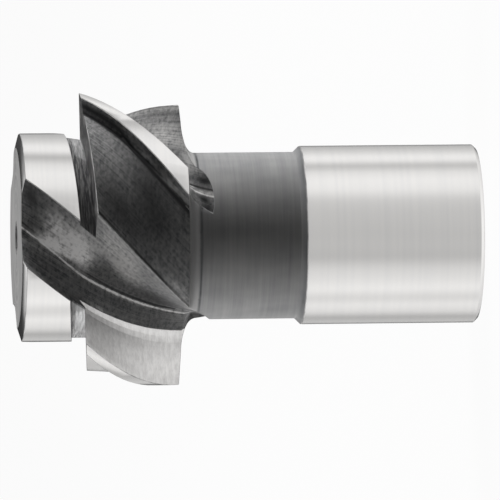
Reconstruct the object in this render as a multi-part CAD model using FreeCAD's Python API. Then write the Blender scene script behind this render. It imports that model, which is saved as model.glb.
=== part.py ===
import FreeCAD, Part
import math
import os

# A counterbore with a fixed pilot, ground from one bar of tool steel, in millimetres.
# It stands on the end of its shank. Z is the tool's axis and points from the shank to the pilot's tip.
# It cuts turning anticlockwise about Z, which is clockwise as seen from the spindle.

# Diameters
head_diameter = 20.0
pilot_diameter = 14.0
neck_diameter = 11.2
shank_diameter = 12.0

# Lengths along the axis, one after the other from the shank's end
shank_length = 11.9
neck_length = 8.2
head_length = 6.8
pilot_length = 4.1

# Turned edges
shank_chamfer = 0.25
shoulder_length = 0.4
pilot_chamfer_depth = 0.95
pilot_chamfer_length = 0.25
head_back_slope = 0.15
head_back_sweep_length = 0.95
head_back_sweep_depth = 2.2

# Teeth and flutes, measured square to the axis. The margin narrows from the head's back to the lip, and
# its wall slopes down to the tooth's back.
tooth_count = 3
helix_lead = 50.9
first_tooth_angle = -15.0
tooth_angle = 59.5
margin_width_at_back = 2.05
margin_width_at_lip = 1.03
margin_height = 0.8
margin_wall_run = 0.73
heel_fall = 0.4
rake_depth = 3.7
rake_lean = 0.2
root_radius = 5.1
root_angle = 18.3
floor_hollow = 0.2

# End relief: a slot behind each cutting lip, tilted so that the tooth falls away to its heel
slot_width = 0.95
slot_below_pilot = 0.25
slot_tilt = 4.3
slot_past_lip = 0.4
slot_past_heel = 1.0
lip_stock = 0.1

# Where the fluting cutter leaves the steel: how far behind the head that starts, how far the cutter runs
# on from there, how deep its side then reaches along the rake face, its radius, and how far it is lifted
# clear of the neck
run_out_start = 0.2
run_on_length = 0.7
run_out_rake_depth = 4.8
cutter_radius = 1.5
run_out_clearance = 0.05

# Centre holes for grinding between centres
centre_hole_diameter = 1.0
centre_hole_depth = 2.2
centre_cone_diameter = 2.2
centre_cone_angle = 60.0

# Sizes that follow from the ones above
head_radius = head_diameter / 2
pilot_radius = pilot_diameter / 2
neck_radius = neck_diameter / 2
shank_radius = shank_diameter / 2
shoulder_level = shank_length
head_back_level = shoulder_level + neck_length
lip_level = head_back_level + head_length
tip_level = lip_level + pilot_length
slot_floor_radius = pilot_radius - slot_below_pilot

# How far the cutting shapes reach past the steel, how finely a flute is lofted, and the tolerance of a cut
outside = 2.0
sections_along_flute = 16
sections_in_run_out = 12
cut_tolerance = 0.001

axis_start = FreeCAD.Vector(0, 0, 0)
axis_direction = FreeCAD.Vector(0, 0, 1)


def polar(radius, angle):
    """A point at a radius and an angle in degrees, square to the axis."""
    turn = math.radians(angle)
    return FreeCAD.Vector(radius * math.cos(turn), radius * math.sin(turn), 0)


def line(start, end):
    return Part.LineSegment(start, end).toShape()


def arc(start, middle, end):
    return Part.Arc(start, middle, end).toShape()


def quarter_ellipse(start, corner, end):
    """A quarter of an ellipse from start to end, which leaves and arrives along the lines to the corner."""
    curve = Part.BezierCurve()
    curve.setPoles([start, corner, end])
    curve.setWeight(2, math.sqrt(0.5))
    return curve.toShape()


def turned_blank():
    """The turned bar, before anything is milled."""
    sweep_top_radius = neck_radius + head_back_sweep_depth
    sweep_top_level = head_back_level - head_back_slope
    sweep_neck_level = sweep_top_level - head_back_sweep_length
    face_level = lip_level + lip_stock
    lower = [
        FreeCAD.Vector(0, 0, 0),
        FreeCAD.Vector(shank_radius - shank_chamfer, 0, 0),
        FreeCAD.Vector(shank_radius, 0, shank_chamfer),
        FreeCAD.Vector(shank_radius, 0, shoulder_level),
        FreeCAD.Vector(neck_radius, 0, shoulder_level + shoulder_length),
        FreeCAD.Vector(neck_radius, 0, sweep_neck_level),
    ]
    upper = [
        FreeCAD.Vector(sweep_top_radius, 0, sweep_top_level),
        FreeCAD.Vector(head_radius, 0, head_back_level),
        FreeCAD.Vector(head_radius, 0, face_level),
        FreeCAD.Vector(pilot_radius, 0, face_level),
        FreeCAD.Vector(pilot_radius, 0, tip_level - pilot_chamfer_length),
        FreeCAD.Vector(pilot_radius - pilot_chamfer_depth, 0, tip_level),
        FreeCAD.Vector(0, 0, tip_level),
    ]
    sweep_corner = FreeCAD.Vector(neck_radius, 0, sweep_top_level)
    edges = [line(a, b) for a, b in zip(lower, lower[1:])]
    edges.append(quarter_ellipse(lower[-1], sweep_corner, upper[0]))
    edges += [line(a, b) for a, b in zip(upper, upper[1:])]
    edges.append(line(upper[-1], lower[0]))
    outline = Part.Face(Part.Wire(edges))
    return outline.revolve(axis_start, axis_direction, 360)


def flute_outline(side_depth, margin_width):
    """Everything milled away between one tooth's margin and the next tooth's cutting edge.

    X runs out along the rake face and Y points the way the tool turns. The cutter's side reaches down the
    rake face to a depth below the cutting edge.
    """
    pitch_angle = 360.0 / tooth_count
    heel_angle = pitch_angle - tooth_angle
    margin_angle = pitch_angle - math.degrees(margin_width / head_radius)
    foot_angle = margin_angle - math.degrees(margin_wall_run / head_radius)
    back_radius = head_radius - margin_height
    heel_radius = back_radius - heel_fall
    edge = FreeCAD.Vector(head_radius + outside, 0, 0)
    rake_end = FreeCAD.Vector(head_radius - side_depth, rake_lean, 0)
    cutting_edge = FreeCAD.Vector(head_radius, 0, 0)
    root = polar(root_radius, root_angle)
    heel = polar(heel_radius, heel_angle)
    chord = heel - root
    inward = FreeCAD.Vector(-chord.y, chord.x, 0).normalize()
    floor_middle = (root + heel) * 0.5 + inward * floor_hollow
    back_middle = polar((heel_radius + back_radius) / 2, (heel_angle + foot_angle) / 2)
    margin_foot = polar(back_radius, foot_angle)
    margin_edge = polar(head_radius, margin_angle)
    margin_top = polar(head_radius + outside, margin_angle)
    return [
        line(edge, cutting_edge),
        line(cutting_edge, rake_end),
        line(rake_end, root),
        arc(root, floor_middle, heel),
        arc(heel, back_middle, margin_foot),
        line(margin_foot, margin_edge),
        line(margin_edge, margin_top),
        arc(margin_top, polar(head_radius + outside, margin_angle / 2), edge),
    ]


def flute_section(level, side_depth, lift):
    """The flute's outline at a level, turned with the helix and lifted away from the axis."""
    up_the_head = (level - head_back_level) / head_length
    margin_width = margin_width_at_back + (margin_width_at_lip - margin_width_at_back) * up_the_head
    section = Part.Wire(flute_outline(side_depth, margin_width))
    section.translate(FreeCAD.Vector(lift, 0, level))
    section.rotate(axis_start, axis_direction, (level - lip_level) * 360.0 / helix_lead)
    return section


def flute_cutter():
    """The space of one flute, lofted down the helix from above the tip to just behind the head."""
    top = tip_level + outside
    bottom = head_back_level - run_out_start
    sections = []
    for step in range(sections_along_flute + 1):
        level = top + (bottom - top) * step / sections_along_flute
        sections.append(flute_section(level, rake_depth, 0))
    return Part.makeLoft(sections, True)


def run_out_cutter():
    """The end of one flute, from behind the head into the neck and up out of it on the cutter's radius."""
    root_depth = neck_radius - polar(root_radius, root_angle).x
    full_lift = min(max(root_depth, 0) + run_out_clearance, cutter_radius)
    rise_length = math.sqrt(cutter_radius ** 2 - (cutter_radius - full_lift) ** 2)
    whole_length = run_on_length + rise_length
    sections = []
    for step in range(sections_in_run_out + 1):
        past = whole_length * step / sections_in_run_out
        deepened = 0.5 - 0.5 * math.cos(math.pi * min(past / run_on_length, 1))
        side_depth = rake_depth + (run_out_rake_depth - rake_depth) * deepened
        rising = max(past - run_on_length, 0)
        lift = cutter_radius - math.sqrt(cutter_radius ** 2 - rising ** 2)
        level = head_back_level - run_out_start - past
        sections.append(flute_section(level, side_depth, lift))
    return Part.makeLoft(sections, True)


def relief_slot():
    """The slot behind one cutting lip, with the lip's tooth on the X axis."""
    half_angle = tooth_angle / 2
    lip_side = head_radius * math.sin(math.radians(half_angle))
    ahead = lip_side + slot_past_lip
    behind = lip_side + slot_past_heel
    inner_side = slot_floor_radius / 2
    lip_rise = lip_side * math.tan(math.radians(slot_tilt))
    slot = Part.makeBox(head_radius + outside - inner_side, ahead + behind, slot_width)
    slot.translate(FreeCAD.Vector(inner_side, -behind, 0))
    slot.rotate(axis_start, FreeCAD.Vector(1, 0, 0), slot_tilt)
    slot.translate(FreeCAD.Vector(0, 0, lip_level - lip_rise))
    core = Part.makeCylinder(slot_floor_radius, tip_level)
    slot = slot.cut(core)
    slot.rotate(axis_start, axis_direction, -half_angle)
    return slot


def centre_hole(end_level, direction):
    """A drilled centre in an end face. The direction points into the steel, 1 up or -1 down."""
    inward = FreeCAD.Vector(0, 0, direction)
    mouth = FreeCAD.Vector(0, 0, end_level)
    cone_radius = centre_cone_diameter / 2
    cone_depth = cone_radius / math.tan(math.radians(centre_cone_angle / 2))
    drill = Part.makeCylinder(centre_hole_diameter / 2, centre_hole_depth, mouth, inward)
    cone = Part.makeCone(cone_radius, 0, cone_depth, mouth, inward)
    return drill.fuse(cone)


def counterbore():
    body = turned_blank()
    cutters = [flute_cutter(), run_out_cutter(), relief_slot()]
    for tooth in range(tooth_count):
        turn = first_tooth_angle + tooth * 360.0 / tooth_count
        for cutter in cutters:
            placed = cutter.copy()
            placed.rotate(axis_start, axis_direction, turn)
            body = body.cut([placed], cut_tolerance)
    body = body.cut([centre_hole(0, 1), centre_hole(tip_level, -1)], cut_tolerance)
    return body.Solids[0] if len(body.Solids) == 1 else body


os.makedirs("parts", exist_ok=True)
tool = counterbore()
print("solids", len(tool.Solids), "valid", tool.isValid(), "volume", round(tool.Volume, 1))
tool.exportStep("parts/counterbore.step")
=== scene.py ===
import math
import bmesh
import bpy
from mathutils import Matrix, Vector


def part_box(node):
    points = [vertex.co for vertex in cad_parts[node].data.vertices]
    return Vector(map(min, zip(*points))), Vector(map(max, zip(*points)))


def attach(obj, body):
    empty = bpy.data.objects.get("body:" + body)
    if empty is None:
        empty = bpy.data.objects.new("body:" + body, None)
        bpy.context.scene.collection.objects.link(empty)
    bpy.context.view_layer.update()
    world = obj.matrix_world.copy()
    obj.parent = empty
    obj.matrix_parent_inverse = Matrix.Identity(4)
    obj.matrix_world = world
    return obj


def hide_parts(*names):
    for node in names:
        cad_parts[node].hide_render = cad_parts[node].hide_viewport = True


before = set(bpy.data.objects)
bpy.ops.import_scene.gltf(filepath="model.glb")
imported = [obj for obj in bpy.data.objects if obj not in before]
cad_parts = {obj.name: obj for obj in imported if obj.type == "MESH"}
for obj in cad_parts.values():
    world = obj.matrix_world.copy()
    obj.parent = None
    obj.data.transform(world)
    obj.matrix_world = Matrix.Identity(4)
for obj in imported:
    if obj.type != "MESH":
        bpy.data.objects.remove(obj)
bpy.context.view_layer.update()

# A counterbore with a fixed pilot. It stands on its shank: Z runs from the shank to the pilot's
# tip, and +X is the side that the picture shows at the top.
scene = bpy.context.scene
scene.view_settings.view_transform = "Standard"
mm = 0.001


# Camera

view = {
    "tilt": 5.2,                     # degrees that the camera looks down on the pilot's end
    "roll": -0.57,                   # degrees that it is turned about its line of sight
    "pixelsPerMm": 14.9,             # at the pilot's face
    "picture": 500,                  # width and height in pixels
    "faceCentre": (16.3, 237.85),    # where the pilot's centre lies in the picture
    "lens": 720.0,
}


def makeCamera():
    tilt = math.radians(view["tilt"])
    roll = math.radians(view["roll"])
    right = Vector((0, -math.sin(tilt), -math.cos(tilt)))
    up = Vector((1, 0, 0))
    forward = Vector((0, math.cos(tilt), -math.sin(tilt)))
    turnedRight = right * math.cos(roll) + up * math.sin(roll)
    turnedUp = up * math.cos(roll) - right * math.sin(roll)
    data = bpy.data.cameras.new("camera")
    data.lens = view["lens"]
    scale = view["pixelsPerMm"] / mm
    middle = view["picture"] / 2
    distance = data.lens / data.sensor_width * view["picture"] / scale
    across = (view["faceCentre"][0] - middle) / scale
    above = (middle - view["faceCentre"][1]) / scale
    face = Vector((0, 0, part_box("counterbore")[1].z))
    camera = bpy.data.objects.new("camera", data)
    scene.collection.objects.link(camera)
    place = Matrix((turnedRight, turnedUp, -forward)).transposed().to_4x4()
    place.translation = face - forward * distance - turnedRight * across - turnedUp * above
    camera.matrix_world = place
    scene.camera = camera


makeCamera()
print("camera ready")


# Tool

tool = {
    # levels above the shank's end and radii, in mm
    "shankTop": 11.9, "neckTop": 18.9, "headBack": 20.1, "lips": 26.9, "tip": 31.0,
    "neckRadius": 5.6, "headRadius": 10.0, "backRadius": 9.2, "pilotRadius": 7.0,
    "slotRadius": 6.75, "rakeEnd": 6.3,
    "teeth": 3, "firstTooth": -15.0, "helixLead": 50.9,
}
pitch = 360 / tool["teeth"]    # degrees from one cutting edge to the next


# Material helpers

# a new material with its node tree and its shader, which gets the plain values
def newMaterial(name, values):
    material = bpy.data.materials.new(name)
    material.use_nodes = True
    shader = material.node_tree.nodes["Principled BSDF"]
    for socket, value in values.items():
        shader.inputs[socket].default_value = value
    return material, material.node_tree, shader


# one node with its settings and plain values, and its links as {input: socket}
def addNode(tree, kind, links=None, values=None, **settings):
    node = tree.nodes.new(kind)
    for name, value in settings.items():
        setattr(node, name, value)
    for name, value in (values or {}).items():
        node.inputs[name].default_value = value
    for name, socket in (links or {}).items():
        tree.links.new(socket, node.inputs[name])
    return node


# a Math node, whose inputs are sockets or numbers
def calculate(tree, operation, first, second=0.0, third=0.0, clamp=False):
    node = addNode(tree, "ShaderNodeMath", operation=operation, use_clamp=clamp)
    for index, value in enumerate((first, second, third)):
        if isinstance(value, (int, float)):
            node.inputs[index].default_value = value
        else:
            tree.links.new(value, node.inputs[index])
    return node.outputs[0]


# the sum of some sockets, each times its share
def weigh(tree, sockets, shares):
    total, *others = [calculate(tree, "MULTIPLY", socket, share)
                      for socket, share in zip(sockets, shares)]
    for other in others:
        total = calculate(tree, "ADD", total, other)
    return total


def objectPlace(tree):
    return addNode(tree, "ShaderNodeTexCoord").outputs["Object"]


def noise(tree, place, detail, roughness):
    node = addNode(tree, "ShaderNodeTexNoise", {"Vector": place},
                   {"Scale": 1.0, "Detail": detail, "Roughness": roughness})
    return node.outputs["Fac"]


# noise stretched by the scale of each axis, on the object's coordinates or on those given
def stretchedNoise(tree, scale, detail, roughness, place=None):
    if place is None:
        place = objectPlace(tree)
    mapping = addNode(tree, "ShaderNodeMapping", {"Vector": place}, {"Scale": scale})
    return noise(tree, mapping.outputs["Vector"], detail, roughness)


# a colour ramp with stops as (position, grey or colour)
def ramp(tree, factor, stops):
    node = addNode(tree, "ShaderNodeValToRGB", {"Fac": factor})
    elements = node.color_ramp.elements
    while len(elements) < len(stops):
        elements.new(0.5)
    for element, (position, colour) in zip(elements, stops):
        element.position = position
        if isinstance(colour, (int, float)):
            colour = (colour, colour, colour)
        element.color = (*colour, 1.0)
    return node.outputs["Color"]


# a ramp whose stops lie at real places, such as levels in mm, and not between 0 and 1
def placedRamp(tree, place, stops):
    start, end = stops[0][0], stops[-1][0]
    past = calculate(tree, "SUBTRACT", place, start)
    along = calculate(tree, "DIVIDE", past, end - start, clamp=True)
    return ramp(tree, along, [((stop - start) / (end - start), grey) for stop, grey in stops])


# the strength at distance 0, falling softly to nothing at the reach
def fadeOut(tree, distance, reach, strength):
    node = addNode(tree, "ShaderNodeMapRange", {"Value": distance},
                   {"From Min": 0.0, "From Max": reach, "To Min": strength, "To Max": 0.0},
                   interpolation_type="SMOOTHSTEP")
    return node.outputs["Result"]


def mixColours(tree, kind, factor, first, second):
    node = addNode(tree, "ShaderNodeMix", data_type="RGBA", blend_type=kind)
    for index, value in ((0, factor), (6, first), (7, second)):    # a colour mix's own sockets
        if isinstance(value, (int, float)):
            node.inputs[index].default_value = value
        elif isinstance(value, tuple):
            node.inputs[index].default_value = (*value, 1.0)
        else:
            tree.links.new(value, node.inputs[index])
    return node.outputs[2]


# a bump on the shader, on top of one that it has already; the depth is in mm
def bump(tree, shader, height, strength, depth):
    node = addNode(tree, "ShaderNodeBump", {"Height": height},
                   {"Strength": strength, "Distance": depth * mm})
    for link in shader.inputs["Normal"].links:
        tree.links.new(link.from_socket, node.inputs["Normal"])
    tree.links.new(node.outputs["Normal"], shader.inputs["Normal"])


# Where a point lies on the tool: how far it is ahead of the cutting edge behind it, from 0 to 1 of
# the pitch with the flutes' twist taken out, its level in mm, and which tooth that edge is on
def fluteCoordinates(tree):
    parts = addNode(tree, "ShaderNodeSeparateXYZ", {"Vector": objectPlace(tree)})
    angle = calculate(tree, "ARCTAN2", parts.outputs["Y"], parts.outputs["X"])
    level = calculate(tree, "MULTIPLY", parts.outputs["Z"], 1 / mm)
    pastLips = calculate(tree, "SUBTRACT", level, tool["lips"])
    twist = calculate(tree, "MULTIPLY", pastLips, math.tau / tool["helixLead"])
    fromFirst = calculate(tree, "SUBTRACT", angle, math.radians(tool["firstTooth"]))
    untwisted = calculate(tree, "SUBTRACT", fromFirst, twist)
    turns = calculate(tree, "MULTIPLY", untwisted, tool["teeth"] / math.tau)
    tooth = calculate(tree, "FLOOR", calculate(tree, "WRAP", turns, float(tool["teeth"]), 0.0))
    return calculate(tree, "WRAP", turns, 1.0, 0.0), level, tooth


# 1 on one of the teeth, and 0 on the others
def onTooth(tree, tooth, number):
    return calculate(tree, "COMPARE", tooth, float(number), 0.5)


# a point's distance from the tool's axis, in mm
def axisDistance(tree):
    flat = addNode(tree, "ShaderNodeMapping", {"Vector": objectPlace(tree)},
                   {"Scale": (1 / mm, 1 / mm, 0)}).outputs[0]
    return addNode(tree, "ShaderNodeVectorMath", {0: flat}, operation="LENGTH").outputs["Value"]


# Finishes. In each look a noise is given as its scale along X, Y and Z, its detail and its
# roughness, a tone as the stops of a ramp over it, and a relief as a bump's strength and depth.

groundColour = (0.96, 0.947, 0.93)

groundLook = {
    "tone": [(0.25, (0.92, 0.91, 0.9)), (0.6, groundColour)], "metallic": 1.0,
    "cloud": ((160, 160, 60), 2.0, 0.5), "cloudTone": [(0.3, 0.9), (0.7, 1.0)], "cloudShare": 0.5,
    "shank": {"rings": ((40, 40, 2600), 3.0, 0.5), "relief": (0.015, 0.01), "roughness": 0.2},
    "land": {"rings": ((40, 40, 3500), 3.0, 0.5), "relief": (0.03, 0.01), "roughness": 0.15},
}


# bright steel, ground round the axis, with fine rings along Z
def groundSteel(name, look):
    values = {"Metallic": groundLook["metallic"], "Roughness": look["roughness"]}
    material, tree, shader = newMaterial(name, values)
    rings = stretchedNoise(tree, *look["rings"])
    cloud = ramp(tree, stretchedNoise(tree, *groundLook["cloud"]), groundLook["cloudTone"])
    colour = ramp(tree, rings, groundLook["tone"])
    colour = mixColours(tree, "MULTIPLY", groundLook["cloudShare"], colour, cloud)
    tree.links.new(colour, shader.inputs["Base Color"])
    bump(tree, shader, rings, *look["relief"])
    return material


oxideValues = {"Metallic": 0.0, "IOR": 1.3, "Roughness": 0.33}

neckLook = {
    "rings": ((120, 120, 4200), 4.0, 0.6), "cloud": ((260, 260, 120), 3.0, 0.6),
    "shares": (0.4, 0.6), "relief": (0.2, 0.02),
    "tone": [(0.1, (0.02, 0.02, 0.021)), (0.3, (0.23, 0.233, 0.239)),
             (0.72, (0.46, 0.455, 0.45)), (0.95, (0.6, 0.595, 0.59))],
    # how light it is by its level in mm: painted shade in the corners at the shank's shoulder, at
    # the neck's top and at the head's back edge, and a painted highlight on the head's back; plain
    # is neither lighter nor darker
    "plain": 0.5,
    "paintedLightBands": [(11.5, 0.5), (12.02, 0.3), (12.15, 0.4), (12.3, 0.5), (18.85, 0.5), (18.94, 0.25),
              (19.03, 0.25), (19.15, 0.8), (19.45, 1.0), (19.75, 0.95), (19.88, 0.6),
              (19.97, 0.15), (20.06, 0.7), (20.5, 0.8)],
}


# blackened steel as it was turned, with painted shade and a painted highlight in bands by level
def turnedOxide(name):
    material, tree, shader = newMaterial(name, oxideValues)
    level = fluteCoordinates(tree)[1]
    rings = stretchedNoise(tree, *neckLook["rings"])
    cloud = stretchedNoise(tree, *neckLook["cloud"])
    shade = weigh(tree, (rings, cloud), neckLook["shares"])
    # painted shade in the corners and a painted highlight on the head's back, by level
    paintedBand = placedRamp(tree, level, neckLook["paintedLightBands"])
    paintedBand = calculate(tree, "SUBTRACT", paintedBand, neckLook["plain"])
    colour = ramp(tree, calculate(tree, "ADD", shade, paintedBand), neckLook["tone"])
    tree.links.new(colour, shader.inputs["Base Color"])
    bump(tree, shader, rings, *neckLook["relief"])
    return material


fluteLook = {
    "grain": ((2600, 2600, 4200), 3.0, 0.7), "cloud": ((330, 330, 240), 3.0, 0.6),
    "scratches": ((1.5, 0.22, 0.0), 4.0, 0.7),    # over degrees and mm, along the helix
    "shares": (0.45, 0.15, 0.4), "relief": (0.4, 0.03),
    "tone": [(0.4, (0.09, 0.093, 0.098)), (0.64, (0.42, 0.415, 0.41))],
    "black": (0.012, 0.012, 0.013), "wallIor": 1.12,
    "wearAndHighlight": (0.72, 0.71, 0.7), "wearAndHighlightMetal": 0.45,
    "scuffShares": (0.5, 0.5), "scuffTone": [(0.38, 0.25), (0.58, 1.0)],
    # places that are lighter (+) or darker (-): the bright ones partly rubbed wear and partly
    # painted highlights, the dark ones painted shade in the corners and deep in the flutes, and
    # those on a single tooth painted light and shade of that tooth; each as degrees ahead of the
    # cutting edge, level in mm, half their width and height, how strongly, and on which tooth, or
    # -1 for all
    "wornAndPaintedPlaces": [
        (30, 27.2, 17, 1.3, 1.4, -1), (42, 26.8, 14, 1.4, 1.0, -1), (25, 29.1, 9, 1.1, 1.7, -1),
        (37, 28.4, 16, 1.9, 1.3, -1), (24, 29.9, 8, 1.0, 0.6, -1), (25, 28.3, 9, 1.0, 0.9, -1),
        (0, 25.8, 5, 1.1, 0.9, -1), (50, 24.6, 15, 2.2, 1.4, -1), (40, 24.0, 12, 1.8, 0.7, -1),
        (96, 25.2, 10, 1.3, 0.2, -1), (64, 20.7, 7, 1.5, 0.4, -1), (40, 19.6, 16, 0.8, 0.5, -1),
        (50, 20.9, 9, 2.0, 0.8, 0), (61, 21.2, 4, 2.5, -0.7, 0), (20, 18.6, 24, 1.2, -0.55, -1),
        (18, 18.6, 3, 1.2, 0.5, 0), (27, 18.6, 5, 1.2, -0.6, 0), (11, 18.8, 4, 0.8, -0.6, 0),
        (4, 18.5, 9, 1.0, -0.8, 0), (106, 21.2, 2.2, 1.7, 0.5, 2), (108, 22.8, 1.6, 1.0, 0.3, 2),
        (102, 26.4, 20, 2.2, 1.2, 1), (27, 21.8, 20, 3.0, -0.8, -1), (46, 30.4, 9, 0.9, -0.9, -1),
        (90, 22.6, 25, 2.0, -0.7, 2), (73, 24.6, 13, 2.4, -0.6, 2),
    ],
    # a place of the same kind on one tooth's corner, a painted highlight as bright as the margins
    "ground": (101, 26.9, 15, 2.1, 1.8, 1),
    # painted lines along the flutes: painted highlights along the root and beside the heel, and
    # painted shade above the root, at the heel and at the wall's foot; each as (level, degrees
    # ahead) along the line, half its width in degrees, and how strongly
    "lines": [
        ([(26.5, 15.2), (27, 15.5), (28, 17.5), (29.5, 21.5), (31.2, 24)], 1.4, 1.3),
        ([(17, 17), (21, 16), (22, 14.3), (25, 14), (26.5, 15.2)], 2.2, 0.3),
        ([(19, 20), (22, 17.5), (25, 17.2), (27, 19), (28, 21), (29.5, 25), (31.2, 28)], 1.6, -0.8),
        ([(19, 59.7), (31.2, 59.7)], 0.9, 0.45),
        ([(19, 61.6), (31.2, 61.6)], 1.4, -0.95),
        ([(19, 102.8), (26.9, 109.6), (31.2, 113.3)], 1.8, -1.0),
        ([(19, 102), (21, 103), (23.5, 106), (24.5, 110), (26.9, 112), (31.2, 116)], 2.6, -0.95),
    ],
}


# how strongly a point is in one of the places
def placeMark(tree, spot, place):
    centre, height, halfWidth, halfHeight, strength, tooth = place
    apart = 0 if tooth < 0 else 2    # from tooth to tooth; a place reaches 1, and so to one tooth
    inPlace = addNode(tree, "ShaderNodeMapping", {"Vector": spot},
                      {"Location": (-centre / halfWidth, -height / halfHeight, -apart * tooth),
                       "Scale": (1 / halfWidth, 1 / halfHeight, apart)}).outputs[0]
    distance = addNode(tree, "ShaderNodeVectorMath", {0: inPlace}, operation="LENGTH")
    return fadeOut(tree, distance.outputs["Value"], 1.0, abs(strength))


# one socket that adds up the bright or the dark places and painted lines of the flutes
def fluteMarks(tree, spot, ahead, level, sign):
    total = 0.0
    for place in fluteLook["wornAndPaintedPlaces"]:
        if place[4] * sign > 0:
            total = calculate(tree, "ADD", placeMark(tree, spot, place), total)
    for path, halfWidth, strength in fluteLook["lines"]:
        if strength * sign > 0:
            line = placedRamp(tree, level, [(stop, angle / pitch) for stop, angle in path])
            line = calculate(tree, "MULTIPLY", line, pitch)
            beside = calculate(tree, "ABSOLUTE", calculate(tree, "SUBTRACT", ahead, line))
            mark = fadeOut(tree, beside, halfWidth, abs(strength))
            total = calculate(tree, "ADD", mark, total)
    return total


# blackened steel as it was milled and scratched, rubbed bright in places, with painted highlights
# along the root, the heels and on single teeth, and painted shade in the corners and deep in the
# flutes
def milledOxide(name, values):
    material, tree, shader = newMaterial(name, values)
    turn, level, tooth = fluteCoordinates(tree)
    ahead = calculate(tree, "MULTIPLY", turn, pitch)
    spot = addNode(tree, "ShaderNodeCombineXYZ", {"X": ahead, "Y": level, "Z": tooth}).outputs[0]
    grain = stretchedNoise(tree, *fluteLook["grain"])
    cloud = stretchedNoise(tree, *fluteLook["cloud"])
    scratches = stretchedNoise(tree, *fluteLook["scratches"], spot)
    shade = weigh(tree, (grain, cloud, scratches), fluteLook["shares"])
    colour = ramp(tree, shade, fluteLook["tone"])
    # the dark places and lines: painted shade
    dark = calculate(tree, "MINIMUM", fluteMarks(tree, spot, ahead, level, -1), 1.0)
    colour = mixColours(tree, "MIX", dark, colour, fluteLook["black"])
    scuffs = weigh(tree, (grain, scratches), fluteLook["scuffShares"])
    scuffs = ramp(tree, scuffs, fluteLook["scuffTone"])
    # the bright places and lines: rubbed wear and painted highlights
    bright = fluteMarks(tree, spot, ahead, level, 1)
    wearAndHighlight = calculate(tree, "MULTIPLY", bright, scuffs, clamp=True)
    colour = mixColours(tree, "MIX", wearAndHighlight, colour, fluteLook["wearAndHighlight"])
    # a painted highlight on one tooth's corner
    ground = calculate(tree, "MINIMUM", placeMark(tree, spot, fluteLook["ground"]), 1.0)
    colour = mixColours(tree, "MIX", ground, colour, groundColour)
    tree.links.new(colour, shader.inputs["Base Color"])
    metal = calculate(tree, "MULTIPLY", wearAndHighlight, fluteLook["wearAndHighlightMetal"])
    metal = calculate(tree, "MAXIMUM", metal, ground)
    tree.links.new(metal, shader.inputs["Metallic"])
    bump(tree, shader, shade, *fluteLook["relief"])
    return material


slotLook = {
    "grain": ((600, 600, 7000), 5.0, 0.7), "relief": (0.4, 0.03),
    "tone": [(0.44, (0.05, 0.05, 0.053)), (0.7, (0.38, 0.375, 0.37))],
    # one tooth's slot is painted paler: painted light
    "litTooth": 1, "litTone": [(0.36, (0.08, 0.08, 0.083)), (0.62, (0.66, 0.655, 0.65))],
    # a bar on the slot's floor beside the lip is a painted highlight, and dimmer on the other
    # teeth:
    # where it starts ahead of the cutting edge and how strong it is from there on, in degrees,
    # and the level and the radius that it reaches to
    "barStart": -25.0, "bar": [(0, 0.0), (2, 1.0), (27, 1.0), (30, 0.0)],
    "barTop": 27.35, "barRadius": 6.9,
    "dimBar": 0.3, "barTone": [(0.36, 0.42), (0.6, 0.85)], "barMetal": 0.85,
}


# the relief slots, dark, one painted paler as lit, with a painted highlight bar beside the lip
def slotOxide(name):
    material, tree, shader = newMaterial(name, oxideValues)
    turn, level, tooth = fluteCoordinates(tree)
    grain = stretchedNoise(tree, *slotLook["grain"])
    # one tooth's slot painted paler: painted light
    onLitTooth = onTooth(tree, tooth, slotLook["litTooth"])
    colour = mixColours(tree, "MIX", onLitTooth, ramp(tree, grain, slotLook["tone"]),
                        ramp(tree, grain, slotLook["litTone"]))
    # a painted highlight bar on the slot's floor beside the lip
    past = calculate(tree, "SUBTRACT", turn, slotLook["barStart"] / pitch)
    past = calculate(tree, "WRAP", past, 1.0, 0.0)
    bar = ramp(tree, past, [(angle / pitch, grey) for angle, grey in slotLook["bar"]])
    low = calculate(tree, "LESS_THAN", level, slotLook["barTop"])
    onFloor = calculate(tree, "LESS_THAN", axisDistance(tree), slotLook["barRadius"])
    bar = calculate(tree, "MULTIPLY", bar, calculate(tree, "MULTIPLY", low, onFloor))
    strength = calculate(tree, "MAXIMUM", onLitTooth, slotLook["dimBar"])
    bar = calculate(tree, "MULTIPLY", bar, strength)
    colour = mixColours(tree, "MIX", bar, colour, ramp(tree, grain, slotLook["barTone"]))
    tree.links.new(colour, shader.inputs["Base Color"])
    metal = calculate(tree, "MULTIPLY", bar, slotLook["barMetal"])
    tree.links.new(metal, shader.inputs["Metallic"])
    bump(tree, shader, grain, *slotLook["relief"])
    return material


rakeLook = {
    "values": {"Metallic": 1.0, "Roughness": 0.6},
    "marks": ((1600, 1600, 4200), 5.0, 0.7), "relief": (0.3, 0.02),
    "tone": [(0.3, (0.74, 0.73, 0.72)), (0.62, (0.95, 0.94, 0.93))],
    # by the distance from the axis in mm: how bright the face is, how strong the painted highlight
    # is, a line painted white beside the oxide, and how high the face lies where it rolls off there
    "across": [(6.0, 1.0), (6.65, 1.0), (6.95, 0.92), (7.2, 0.87), (7.7, 0.92), (8.8, 1.0),
               (9.2, 0.98), (10, 0.86)],
    "line": [(6.0, 0.5), (6.5, 0.35), (6.9, 0.0), (10, 0.0)], "white": (0.95, 0.94, 0.93),
    "roll": [(6.0, 1.0), (6.75, 0.16), (7.15, 0.0), (10, 0.0)], "rollRelief": (1.0, 0.43),
}


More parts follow.
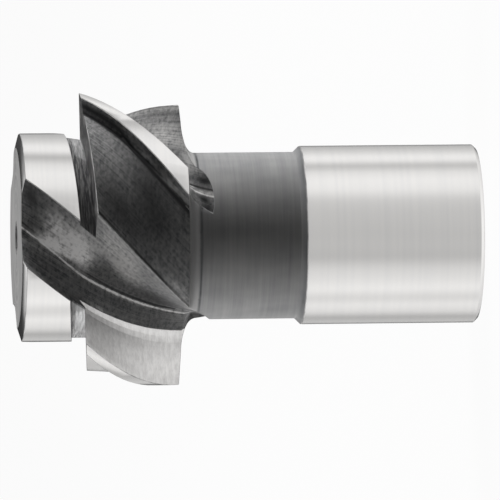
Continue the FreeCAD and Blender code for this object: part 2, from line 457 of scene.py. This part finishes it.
# the rake faces, ground bright, with a painted highlight along their inner edge
def rakeSteel(name):
    material, tree, shader = newMaterial(name, rakeLook["values"])
    marks = stretchedNoise(tree, *rakeLook["marks"])
    outwards = axisDistance(tree)
    colour = mixColours(tree, "MULTIPLY", 1.0, ramp(tree, marks, rakeLook["tone"]),
                        placedRamp(tree, outwards, rakeLook["across"]))
    # a painted highlight: a white line along the face beside the oxide
    line = placedRamp(tree, outwards, rakeLook["line"])
    colour = mixColours(tree, "MIX", line, colour, rakeLook["white"])
    tree.links.new(colour, shader.inputs["Base Color"])
    roll = placedRamp(tree, outwards, rakeLook["roll"])
    bump(tree, shader, roll, *rakeLook["rollRelief"])
    bump(tree, shader, marks, *rakeLook["relief"])
    return material


faceLook = {
    "face": {"Metallic": 0.5, "Roughness": 0.4}, "chamfer": {"Metallic": 1.0, "Roughness": 0.2},
    "ringScale": 2.6, "rings": (4.0, 0.65), "cloud": ((300, 900, 300), 3.0, 0.6),
    "shares": (0.6, 0.4), "relief": (0.3, 0.01),
    "tone": [(0.36, (0.5, 0.5, 0.5)), (0.62, (0.88, 0.87, 0.86))],
    # how dark the chamfer is painted on two of the teeth, a painted dark reflection, by the degrees
    # ahead of the cutting edge
    "paintedReflections": {
        1: [(55, 0.85), (80, 0.85), (91, 0.0)],
        2: [(48, 0.0), (58, 0.3), (66, 0.5), (74, 0.68), (95, 0.58)],
    },
}


# the pilot's end, faced with rings round it, and its chamfer, smoother and more like a mirror, with
# painted dark reflections
def facedSteel(name, values, paintedReflections):
    material, tree, shader = newMaterial(name, values)
    outwards = calculate(tree, "MULTIPLY", axisDistance(tree), faceLook["ringScale"])
    outwards = addNode(tree, "ShaderNodeCombineXYZ", {"X": outwards}).outputs[0]
    rings = noise(tree, outwards, *faceLook["rings"])
    cloud = stretchedNoise(tree, *faceLook["cloud"])
    colour = ramp(tree, weigh(tree, (rings, cloud), faceLook["shares"]), faceLook["tone"])
    if paintedReflections:
        turn, level, tooth = fluteCoordinates(tree)
        for number, stops in paintedReflections.items():
            # a painted dark reflection on the chamfer of one tooth
            paintedReflection = ramp(tree, turn, [(angle / pitch, grey) for angle, grey in stops])
            paintedReflection = calculate(tree, "MULTIPLY", onTooth(tree, tooth, number), paintedReflection)
            colour = mixColours(tree, "MIX", paintedReflection, colour, fluteLook["black"])
    tree.links.new(colour, shader.inputs["Base Color"])
    bump(tree, shader, rings, *faceLook["relief"])
    return material


edgeLook = {
    "values": {"Metallic": 0.7, "Roughness": 0.35}, "marks": ((900, 900, 900), 4.0, 0.6),
    "tone": [(0.35, (0.3, 0.3, 0.3)), (0.6, (0.75, 0.74, 0.73))],
}


# the thin broken edges, rubbed bright
def wornEdge(name):
    material, tree, shader = newMaterial(name, edgeLook["values"])
    colour = ramp(tree, stretchedNoise(tree, *edgeLook["marks"]), edgeLook["tone"])
    tree.links.new(colour, shader.inputs["Base Color"])
    return material


materials = {
    "shankSteel": groundSteel("shankSteel", groundLook["shank"]),
    "landSteel": groundSteel("landSteel", groundLook["land"]),
    "turnedOxide": turnedOxide("turnedOxide"),
    "milledOxide": milledOxide("milledOxide", oxideValues),
    "wallOxide": milledOxide("wallOxide", {**oxideValues, "IOR": fluteLook["wallIor"]}),
    "slotOxide": slotOxide("slotOxide"),
    "rakeSteel": rakeSteel("rakeSteel"),
    "facedSteel": facedSteel("facedSteel", faceLook["face"], {}),
    "chamferSteel": facedSteel("chamferSteel", faceLook["chamfer"], faceLook["paintedReflections"]),
    "wornEdge": wornEdge("wornEdge"),
}
finishes = list(materials)
print("finishes ready")


# what tells a face's finish: distances and levels in mm, degrees, and shares of its normal
telling = {
    "onRadius": 0.06, "onNeck": 0.04, "offRadius": 0.1, "atLevel": 0.01, "chamfer": 0.3,
    "nearEdge": 4.0, "square": 0.9, "slanting": 0.3, "turned": 0.05, "rakeOutward": 0.4,
    "slotLevels": (25.7, 30.0),
}


# a face's centre in mm, its radius, and how many degrees it is ahead of the cutting edge behind it,
# with the flutes' twist taken out, and away from the nearest one
def facePlace(face):
    centre = face.calc_center_median() / mm
    twist = (centre.z - tool["lips"]) * 360 / tool["helixLead"]
    angle = math.degrees(math.atan2(centre.y, centre.x)) - tool["firstTooth"] - twist
    angle %= pitch
    return centre, math.hypot(centre.x, centre.y), angle, min(angle, pitch - angle)


# which finish a face of the tool has, from its place and the way it faces
def finishOf(face):
    centre, radius, angle, fromEdge = facePlace(face)
    outwards = Vector((centre.x, centre.y, 0)).normalized()
    outward = face.normal.dot(outwards)
    ahead = face.normal.dot(Vector((-outwards.y, outwards.x, 0)))
    facesUp = face.normal.z > telling["square"]
    turned = abs(ahead) < telling["turned"]
    bottom, top = telling["slotLevels"]
    if centre.z < tool["shankTop"]:
        return "shankSteel"
    if turned and radius > tool["neckRadius"] - telling["onNeck"] and not facesUp:
        onHeadBack = centre.z < tool["headBack"] and face.normal.z < telling["atLevel"]
        if centre.z < tool["neckTop"] or onHeadBack:
            return "turnedOxide"
    if turned and radius > tool["headRadius"] - telling["onRadius"]:
        return "landSteel"
    onPilot = abs(radius - tool["pilotRadius"]) < telling["onRadius"] and centre.z > tool["lips"]
    if turned and onPilot and outward > telling["square"]:
        return "landSteel"
    if centre.z > tool["tip"] - telling["chamfer"] and facesUp:
        atTip = centre.z > tool["tip"] - telling["atLevel"]
        return "facedSteel" if atTip else "chamferSteel"
    facesAhead = ahead > telling["slanting"] and outward < telling["rakeOutward"]
    onRake = radius > tool["rakeEnd"] - telling["onRadius"] and centre.z < tool["lips"]
    if onRake and facesAhead and fromEdge < telling["nearEdge"]:
        return "rakeSteel"
    if radius > tool["backRadius"] + telling["offRadius"] and ahead < -telling["slanting"]:
        return "wallOxide"
    onSlotFloor = turned and abs(radius - tool["slotRadius"]) < telling["onRadius"]
    if bottom < centre.z < top and (abs(face.normal.z) > telling["square"] or onSlotFloor):
        return "slotOxide"
    return "milledOxide"


# what tells a broken edge's finish, in the same way
edgeTelling = {
    "onRadius": 0.06, "nearRadius": 0.12, "insideRadius": 0.1, "outsideRadius": 0.2,
    "shoulder": 0.1, "aboveHeadBack": 0.15, "chamfer": 0.4, "nearEdge": 3.0, "slanting": 0.25,
    "slotLevels": (25.4, 30.0), "lipLevels": (26.0, 27.2), "lipEnd": 100.0,
}


# a broken edge is rubbed bright on the cutting edges, lips and rims, otherwise as its surroundings
def edgeFinishOf(face):
    centre, radius, angle, fromEdge = facePlace(face)
    slotBottom, slotTop = edgeTelling["slotLevels"]
    lipBottom, lipTop = edgeTelling["lipLevels"]
    if centre.z < tool["shankTop"] - edgeTelling["shoulder"]:
        return "shankSteel"
    if centre.z < tool["shankTop"] + edgeTelling["shoulder"]:
        return "wornEdge"
    if centre.z < tool["headBack"] + edgeTelling["aboveHeadBack"]:
        return "turnedOxide"
    atSlotFloor = abs(radius - tool["slotRadius"]) < edgeTelling["nearRadius"]
    if atSlotFloor and slotBottom < centre.z < slotTop:
        return "slotOxide"
    atChamfer = centre.z > tool["tip"] - edgeTelling["chamfer"]
    if atChamfer and radius > tool["pilotRadius"] - edgeTelling["insideRadius"]:
        return "wornEdge"
    atCuttingEdge = fromEdge < edgeTelling["nearEdge"] and radius > tool["rakeEnd"]
    if atCuttingEdge and centre.z < lipTop:
        return "wornEdge"
    fromRim = min(abs(radius - tool["pilotRadius"]), abs(radius - tool["headRadius"]))
    onLip = lipBottom < centre.z < lipTop and angle < edgeTelling["lipEnd"]
    onLip = onLip and radius > tool["pilotRadius"] + edgeTelling["outsideRadius"]
    slanting = abs(face.normal.z) > edgeTelling["slanting"]
    if slanting and (fromRim < edgeTelling["onRadius"] or onLip):
        return "wornEdge"
    return "milledOxide"


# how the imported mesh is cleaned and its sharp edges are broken: lengths in mm, angles in degrees;
# the shortest edges stay sharp, and so do the faint ones where the flutes run out of the neck
breaking = {
    "weld": 0.02, "degenerate": 0.001, "flat": 0.2,
    "sharp": 20.0, "width": 0.035, "segments": 2,
    "shortest": 0.1, "runOut": (17.5, 19.7), "faint": 35.0,
}


def isBroken(edge):
    low, high = breaking["runOut"]
    inRunOut = low < edge.verts[0].co.z / mm < high
    faint = inRunOut and edge.calc_face_angle(0) < math.radians(breaking["faint"])
    return edge.calc_length() > breaking["shortest"] * mm and not faint


def makeTool():
    shape = bmesh.new()
    shape.from_mesh(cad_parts["counterbore"].data)
    bmesh.ops.remove_doubles(shape, verts=shape.verts, dist=breaking["weld"] * mm)
    bmesh.ops.dissolve_degenerate(shape, edges=shape.edges, dist=breaking["degenerate"] * mm)
    bmesh.ops.dissolve_limit(shape, angle_limit=math.radians(breaking["flat"]),
                             use_dissolve_boundaries=False, verts=shape.verts,
                             edges=shape.edges, delimit={"NORMAL"})
    for face in shape.faces:
        face.material_index = finishes.index(finishOf(face))
    sharpAngle = math.radians(breaking["sharp"])
    sharp = [edge for edge in shape.edges if edge.calc_face_angle(0) > sharpAngle]
    for edge in sharp:
        edge.smooth = isBroken(edge)
    sharp = [edge for edge in sharp if edge.smooth]
    broken = bmesh.ops.bevel(shape, geom=sharp, offset=breaking["width"] * mm,
                             offset_type="OFFSET", segments=breaking["segments"], profile=0.5,
                             affect="EDGES", clamp_overlap=False, material=-1)
    for face in broken["faces"]:
        face.material_index = finishes.index(edgeFinishOf(face))
    for face in shape.faces:
        face.smooth = True
    mesh = bpy.data.meshes.new("tool")
    shape.to_mesh(mesh)
    shape.free()
    for name in finishes:
        mesh.materials.append(materials[name])
    piece = bpy.data.objects.new("tool", mesh)
    scene.collection.objects.link(piece)
    weighted = piece.modifiers.new("flat faces", "WEIGHTED_NORMAL")
    weighted.keep_sharp = True
    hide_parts("counterbore")
    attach(piece, "root")


makeTool()
print("tool ready")


# Floor, world and lamps

room = {
    "floorWidth": 4.0, "floorWhite": 0.95, "worldStrength": 0.08,
    "floor": {"Base Color": (0.9, 0.9, 0.9, 1), "Roughness": 0.9},
    # how bright metal sees the room, by the bearing round the tool in degrees; 0 is the camera's
    # side, 90 the picture's top
    "glow": [(-180, 0.06), (-168, 0.06), (-160, 0.6), (-150, 0.55), (-135, 0.44), (-120, 0.76),
             (-104, 0.89), (-90, 0.7), (-75, 0.92), (-60, 0.8), (-45, 0.72), (-30, 0.51),
             (-15, 0.55), (0, 0.53), (15, 0.55), (30, 0.57), (45, 0.63), (60, 0.88), (75, 0.92),
             (88, 0.81), (100, 0.48), (112, 0.92), (121, 0.91), (133, 0.71), (147, 0.56),
             (160, 0.5), (170, 0.1), (180, 0.06)],
    # how bright it is by the sine of the height, and how much that hides the bearing's glow
    "heights": [(-1, 1.0), (-0.93, 1.0), (-0.85, 0.95), (-0.7, 0.9), (-0.5, 0.8), (0.45, 0.45),
                (0.62, 0.6), (0.82, 1.0), (1, 1.0)],
    "hides": [(-1, 1), (-0.95, 0.7), (-0.5, 0.6), (-0.3, 0), (0.3, 0), (0.5, 1), (1, 1)],
}


# a soft grey for each bearing round the tool, and for each height far above and below it
def roomGlow(tree, direction):
    parts = addNode(tree, "ShaderNodeSeparateXYZ", {"Vector": direction})
    towardsCamera = calculate(tree, "MULTIPLY", parts.outputs["Y"], -1.0)
    bearing = calculate(tree, "ARCTAN2", parts.outputs["X"], towardsCamera)
    turn = calculate(tree, "MULTIPLY_ADD", bearing, 1 / math.tau, 0.5)
    walls = ramp(tree, turn, [((angle + 180) / 360, grey) for angle, grey in room["glow"]])
    height = calculate(tree, "MULTIPLY_ADD", parts.outputs["Z"], 0.5, 0.5)
    above = ramp(tree, height, [((rise + 1) / 2, grey) for rise, grey in room["heights"]])
    hides = ramp(tree, height, [((rise + 1) / 2, grey) for rise, grey in room["hides"]])
    return mixColours(tree, "MIX", hides, walls, above)


def makeFloor():
    shape = bmesh.new()
    bmesh.ops.create_grid(shape, x_segments=1, y_segments=1, size=room["floorWidth"] / 2)
    mesh = bpy.data.meshes.new("floor")
    shape.to_mesh(mesh)
    shape.free()
    floor = bpy.data.objects.new("floor", mesh)
    floor.visible_glossy = False    # metal sees the room's glow through it
    floor.visible_diffuse = False    # and it throws no light back
    scene.collection.objects.link(floor)
    material, tree, shader = newMaterial("floor", room["floor"])
    path = addNode(tree, "ShaderNodeLightPath")
    white = addNode(tree, "ShaderNodeEmission", values={"Color": (1, 1, 1, 1), "Strength": 1.0})
    seenWhite = calculate(tree, "MULTIPLY", path.outputs["Is Camera Ray"], room["floorWhite"])
    toCamera = addNode(tree, "ShaderNodeMixShader",
                       {0: seenWhite, 1: shader.outputs[0], 2: white.outputs[0]})
    tree.links.new(toCamera.outputs[0], tree.nodes["Material Output"].inputs["Surface"])
    mesh.materials.append(material)


def makeWorld():
    world = bpy.data.worlds.new("world")
    scene.world = world
    world.use_nodes = True
    tree = world.node_tree
    path = addNode(tree, "ShaderNodeLightPath")
    plain = addNode(tree, "ShaderNodeBackground",
                    values={"Color": (1, 1, 1, 1), "Strength": room["worldStrength"]})
    white = addNode(tree, "ShaderNodeBackground", values={"Color": (1, 1, 1, 1), "Strength": 1.0})
    direction = addNode(tree, "ShaderNodeTexCoord").outputs["Generated"]
    glow = addNode(tree, "ShaderNodeBackground", {"Color": roomGlow(tree, direction)},
                   {"Strength": 1.0})
    toCamera = addNode(tree, "ShaderNodeMixShader",
                       {0: path.outputs["Is Camera Ray"], 1: plain.outputs[0],
                        2: white.outputs[0]})
    toMetal = addNode(tree, "ShaderNodeMixShader",
                      {0: path.outputs["Is Glossy Ray"], 1: toCamera.outputs[0],
                       2: glow.outputs[0]})
    tree.links.new(toMetal.outputs[0], tree.nodes["World Output"].inputs["Surface"])


lamps = {
    # bearing and height of each soft lamp as seen from the tool, in degrees, and how strong it is
    "key": (108, 12, 1.7), "fill": (-100, 12, 0.95),
    "distance": 0.4, "width": 0.25,
}


def makeLamp(name):
    bearing, height, strength = lamps[name]
    turn, rise = math.radians(bearing), math.radians(height)
    toLamp = Vector((math.sin(turn) * math.cos(rise), -math.cos(turn) * math.cos(rise),
                     math.sin(rise)))
    data = bpy.data.lights.new(name, "AREA")
    data.size = lamps["width"]
    data.energy = strength * math.pi ** 2 * lamps["distance"] ** 2
    lamp = bpy.data.objects.new(name, data)
    scene.collection.objects.link(lamp)
    lamp.location = toLamp * lamps["distance"]
    lamp.rotation_euler = (-toLamp).to_track_quat("-Z", "Y").to_euler()
    lamp.visible_camera = False
    lamp.visible_glossy = False


for lampName in ("key", "fill"):
    makeLamp(lampName)
makeFloor()
makeWorld()
print("room ready")
